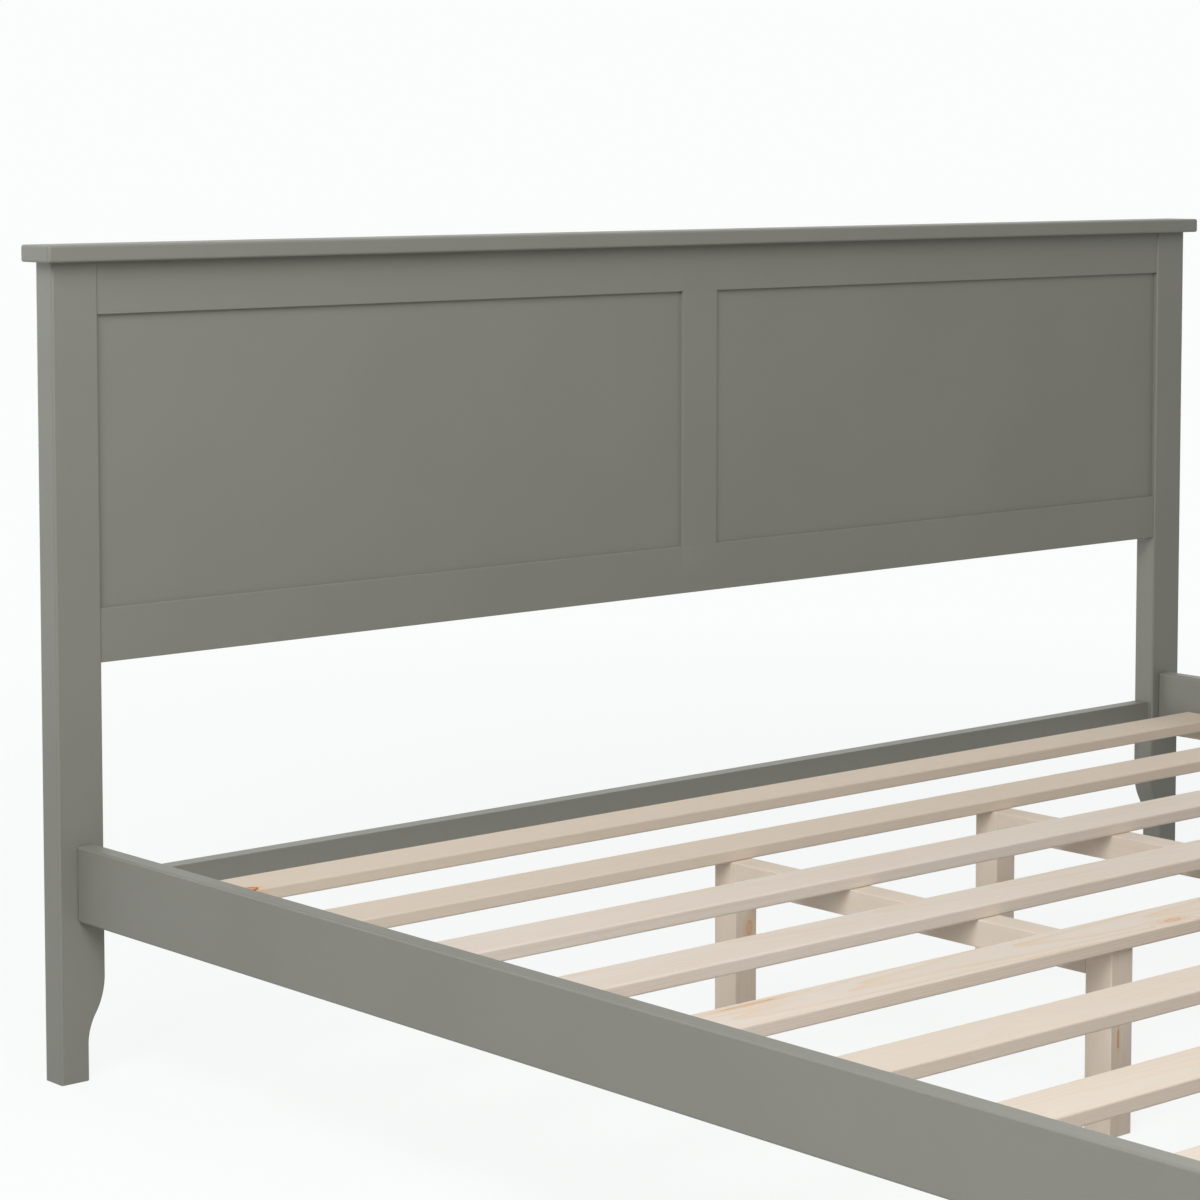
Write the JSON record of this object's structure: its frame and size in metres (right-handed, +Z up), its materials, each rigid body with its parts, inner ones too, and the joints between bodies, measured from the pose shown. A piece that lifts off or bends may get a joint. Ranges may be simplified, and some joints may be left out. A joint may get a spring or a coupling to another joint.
{
  "type": "panel bed",
  "caption": "King-size panel bed: painted frame-and-panel headboard with a cap board, ogee feet, side rails, pine slats on cleats and centre support stands.",
  "frame": {"origin": "on the floor, at the middle of the bed's outer box", "axes": "+X across the bed to the right of someone who stands at the foot and looks at the headboard, +Y along the bed from foot to head, +Z up"},
  "size_m": [2.068, 2.127, 0.986],
  "materials": {
    "painted_wood": "satin grey-green paint",
    "pine": "planed bare pine",
    "beech": "fluted beech dowel",
    "zinc_steel": "bright zinc plate"
  },
  "bodies": {
    "root": {"cap_dowels": "beech", "cleat_screws": "zinc_steel", "foot_post_left": "painted_wood", "foot_post_right": "painted_wood", "foot_rail": "painted_wood", "head_bottom_rail": "painted_wood", "head_cap": "painted_wood", "head_cross_rail": "painted_wood", "head_mullion": "painted_wood", "head_panel_left": "painted_wood", "head_panel_right": "painted_wood", "head_post_left": "painted_wood", "head_post_right": "painted_wood", "head_top_rail": "painted_wood", "plate_screws": "zinc_steel", "post_keeper_plates": "zinc_steel", "rail_hook_plates": "zinc_steel", "side_rail_left": "painted_wood", "side_rail_right": "painted_wood", "slat_01": "pine", "slat_02": "pine", "slat_03": "pine", "slat_04": "pine", "slat_05": "pine", "slat_06": "pine", "slat_07": "pine", "slat_08": "pine", "slat_09": "pine", "slat_10": "pine", "slat_cleat_left": "pine", "slat_cleat_right": "pine", "slat_screws": "zinc_steel", "stand_dowels": "beech", "stand_screws": "zinc_steel", "support_beam_foot_left": "pine", "support_beam_foot_right": "pine", "support_beam_head_left": "pine", "support_beam_head_right": "pine", "support_leg_foot_left_inner": "pine", "support_leg_foot_left_outer": "pine", "support_leg_foot_right_inner": "pine", "support_leg_foot_right_outer": "pine", "support_leg_head_left_inner": "pine", "support_leg_head_left_outer": "pine", "support_leg_head_right_inner": "pine", "support_leg_head_right_outer": "pine"}
  },
  "joints": []
}
